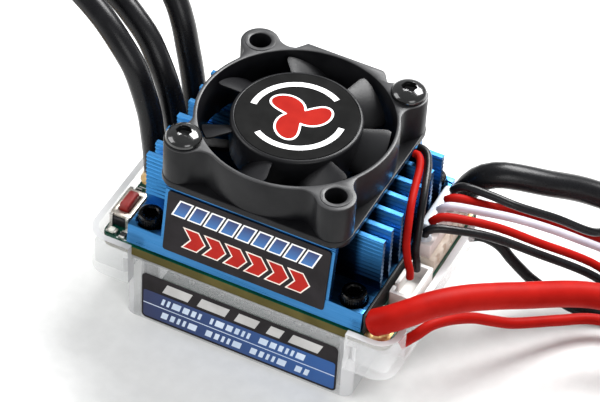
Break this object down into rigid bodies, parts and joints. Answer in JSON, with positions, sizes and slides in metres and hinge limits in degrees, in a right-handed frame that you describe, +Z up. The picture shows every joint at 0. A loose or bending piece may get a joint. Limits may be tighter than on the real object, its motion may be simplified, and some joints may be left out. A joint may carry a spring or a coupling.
{
  "type": "electronic speed controller",
  "caption": "Fan-cooled electronic speed controller for a model car: clear case with two circuit boards, finned heat sink with a square fan on top, thick and thin wire leads.",
  "frame": {"origin": "on the underside of the clear case, straight below the fan's axis", "axes": "+X along the long side from the motor-wire end to the battery-wire end, +Y from the labelled front to the rear, +Z up along the fan's axis"},
  "size_m": [0.1607, 0.0616, 0.0442],
  "materials": {
    "clear_polycarbonate": "clear moulding",
    "printed_label": "gloss film",
    "circuit_board": "satin solder mask",
    "chip_plastic": "matte",
    "thermal_pad": "matte",
    "blue_anodised": "anodised, finely grooved",
    "black_plastic": "satin",
    "black_steel": "black oxide, polished",
    "bright_steel": "bright",
    "magnet_rubber": "matte",
    "copper_winding": "enamelled",
    "sintered_bronze": "sintered",
    "white_plastic": "satin",
    "red_plastic": "satin",
    "red_silicone": "satin",
    "black_silicone": "satin",
    "white_silicone": "satin",
    "gold_plating": "polished",
    "led_lens": "translucent"
  },
  "bodies": {
    "controller": {"case_tray": "clear_polycarbonate", "case_label": "printed_label", "power_board": "circuit_board", "control_board": "circuit_board", "board_header": "chip_plastic", "microcontroller": "chip_plastic", "power_transistor_1": "chip_plastic", "power_transistor_2": "chip_plastic", "power_transistor_3": "chip_plastic", "power_transistor_4": "chip_plastic", "power_transistor_5": "chip_plastic", "power_transistor_6": "chip_plastic", "thermal_pad": "thermal_pad", "button_base": "chip_plastic", "button_cover": "bright_steel", "status_led": "led_lens", "heatsink": "blue_anodised", "heatsink_label": "printed_label", "heatsink_screw_front_left": "black_steel", "heatsink_screw_front_right": "black_steel", "heatsink_screw_rear_left": "black_steel", "heatsink_screw_rear_right": "black_steel", "fan_frame": "black_plastic", "fan_bearing_sleeve": "sintered_bronze", "fan_circuit_board": "circuit_board", "fan_stator": "copper_winding", "fan_screw_front_left": "black_steel", "fan_screw_rear_right": "black_steel", "fan_wire_red": "red_silicone", "fan_wire_black": "black_silicone", "fan_header": "white_plastic", "fan_plug": "white_plastic", "wire_block": "white_plastic", "motor_wire_1": "black_silicone", "motor_wire_2": "black_silicone", "motor_wire_3": "black_silicone", "battery_wire_red": "red_silicone", "battery_wire_black": "black_silicone", "capacitor_wire_red": "red_silicone", "capacitor_wire_black": "black_silicone", "signal_wire_black": "black_silicone", "signal_wire_red": "red_silicone", "signal_wire_white": "white_silicone", "switch_wire_red": "red_silicone", "switch_wire_black": "black_silicone", "motor_bullet_1": "gold_plating", "motor_bullet_2": "gold_plating", "motor_bullet_3": "gold_plating", "battery_plug": "red_plastic", "capacitor_pack": "black_plastic", "receiver_plug": "black_plastic", "switch_body": "black_plastic"},
    "fan_rotor": {"fan_impeller": "black_plastic", "fan_shaft": "bright_steel", "fan_magnet_ring": "magnet_rubber", "fan_hub_label": "printed_label"},
    "button": {"button_cap": "red_plastic"},
    "slider": {"switch_slider": "black_plastic"}
  },
  "joints": [
    {"name": "fan_spin", "type": "hinge", "parent": "controller", "child": "fan_rotor", "pos_m": [0, 0, 0.031], "axis": [0, 0, 1], "continuous": true},
    {"name": "button_press", "type": "slide", "parent": "controller", "child": "button", "axis": [0, 0, -1], "range_m": [0, 0.00025], "stiffness_N_per_m": 1000},
    {"name": "switch_slide", "type": "slide", "parent": "controller", "child": "slider", "axis": [0, 1, 0], "range_m": [0, 0.0022]}
  ]
}
